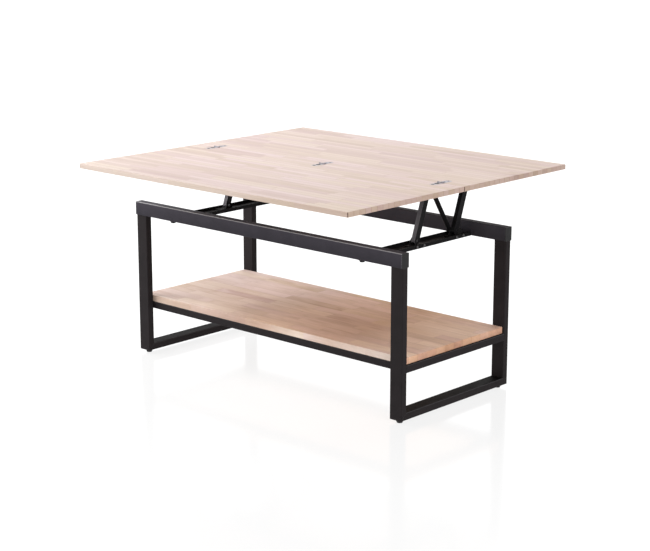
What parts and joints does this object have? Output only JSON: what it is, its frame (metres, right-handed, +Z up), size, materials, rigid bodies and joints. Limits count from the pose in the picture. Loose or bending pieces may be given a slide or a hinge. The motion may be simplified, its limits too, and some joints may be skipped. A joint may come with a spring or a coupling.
{
  "type": "convertible coffee dining table",
  "caption": "Coffee table on a black steel frame with a lower shelf; its folded wooden top rises on leaning arms, slides back and opens on flush hinges to dining size.",
  "frame": {"origin": "on the floor, below the middle of the seam between the two leaves of the open top", "axes": "+X along the seam to the right-hand end, +Y towards the back, +Z up; stored raised and open"},
  "size_m": [1.092, 0.981, 0.6414],
  "materials": {
    "frame_steel": "matt black powder coat on steel tube",
    "mechanism_steel": "black coated pressed steel",
    "black_plastic": "moulded black nylon",
    "rubber": "dull black rubber",
    "zinc": "bright zinc plate",
    "dark_fastener": "blackened steel",
    "hinge_steel": "satin nickel plate",
    "felt": "black felt",
    "top_wood": "pale whitened finger-jointed staves under satin lacquer",
    "shelf_wood": "tan finger-jointed staves under satin lacquer"
  },
  "bodies": {
    "frame": {"top_rail_front": "frame_steel", "top_rail_rear": "frame_steel", "rail_end_caps": "black_plastic", "leg_front_left": "frame_steel", "leg_front_right": "frame_steel", "leg_rear_left": "frame_steel", "leg_rear_right": "frame_steel", "floor_rail_left": "frame_steel", "floor_rail_right": "frame_steel", "foot_glides": "black_plastic", "shelf_end_rail_left": "frame_steel", "shelf_end_rail_right": "frame_steel", "shelf_rail_front": "frame_steel", "shelf_rail_rear": "frame_steel", "shelf_board": "shelf_wood", "shelf_screws": "zinc", "tray_left": "mechanism_steel", "tray_right": "mechanism_steel", "tray_bolts": "dark_fastener", "pivot_bracket_front_left": "mechanism_steel", "pivot_bracket_front_right": "mechanism_steel", "pivot_bracket_rear_left": "mechanism_steel", "pivot_bracket_rear_right": "mechanism_steel", "bracket_bolts": "zinc", "foot_pivot_pins": "zinc", "arm_stops": "rubber"},
    "front_arms": {"front_arm_left": "mechanism_steel", "front_arm_right": "mechanism_steel", "front_arm_bushes": "black_plastic"},
    "rear_arms": {"rear_arm_left": "mechanism_steel", "rear_arm_right": "mechanism_steel", "rear_arm_bushes": "black_plastic"},
    "carrier": {"carrier_left": "mechanism_steel", "carrier_right": "mechanism_steel", "head_pivot_pins": "zinc"},
    "strut_tubes": {"strut_tube_left": "mechanism_steel", "strut_tube_right": "mechanism_steel"},
    "strut_rods": {"strut_rod_left": "dark_fastener", "strut_rod_right": "dark_fastener"},
    "rear_leaf": {"rear_leaf": "top_wood", "slide_track_left": "mechanism_steel", "slide_track_right": "mechanism_steel", "track_screws": "zinc", "slide_stop_pins": "zinc", "rear_hinge_plates": "hinge_steel", "rear_hinge_screws": "hinge_steel", "hinge_pins": "dark_fastener", "rest_pads": "felt"},
    "front_leaf": {"front_leaf": "top_wood", "front_hinge_plates": "hinge_steel", "front_hinge_screws": "hinge_steel"}
  },
  "joints": [
    {"name": "lift", "type": "hinge", "parent": "frame", "child": "front_arms", "pos_m": [0, -0.0265, 0.4635], "axis": [1, 0, 0], "range_deg": [0, 106.8]},
    {"name": "rear_lift", "type": "hinge", "parent": "frame", "child": "rear_arms", "pos_m": [0, 0.154, 0.4635], "axis": [1, 0, 0], "range_deg": [0, 106.9]},
    {"name": "carrier_level", "type": "hinge", "parent": "front_arms", "child": "carrier", "pos_m": [0, 0.02165, 0.601], "axis": [1, 0, 0], "range_deg": [-106.9, 0]},
    {"name": "strut_tilt", "type": "hinge", "parent": "frame", "child": "strut_tubes", "pos_m": [0, 0.154, 0.4635], "axis": [1, 0, 0], "range_deg": [0, 57]},
    {"name": "strut_rod_tilt", "type": "hinge", "parent": "carrier", "child": "strut_rods", "pos_m": [0, 0.06565, 0.601], "axis": [1, 0, 0], "range_deg": [0, 57]},
    {"name": "top_slide", "type": "slide", "parent": "carrier", "child": "rear_leaf", "axis": [0, -1, 0], "range_m": [0, 0.0745]},
    {"name": "leaf_fold", "type": "hinge", "parent": "rear_leaf", "child": "front_leaf", "pos_m": [0, 0, 0.6384], "axis": [-1, 0, 0], "range_deg": [0, 180]}
  ],
  "couplings": [
    {"joint": "rear_lift", "follows": "lift", "ratio": 1},
    {"joint": "carrier_level", "follows": "lift", "ratio": -1},
    {"joint": "strut_tilt", "follows": "lift", "ratio": 0.5265},
    {"joint": "strut_rod_tilt", "follows": "lift", "ratio": 0.5265}
  ]
}
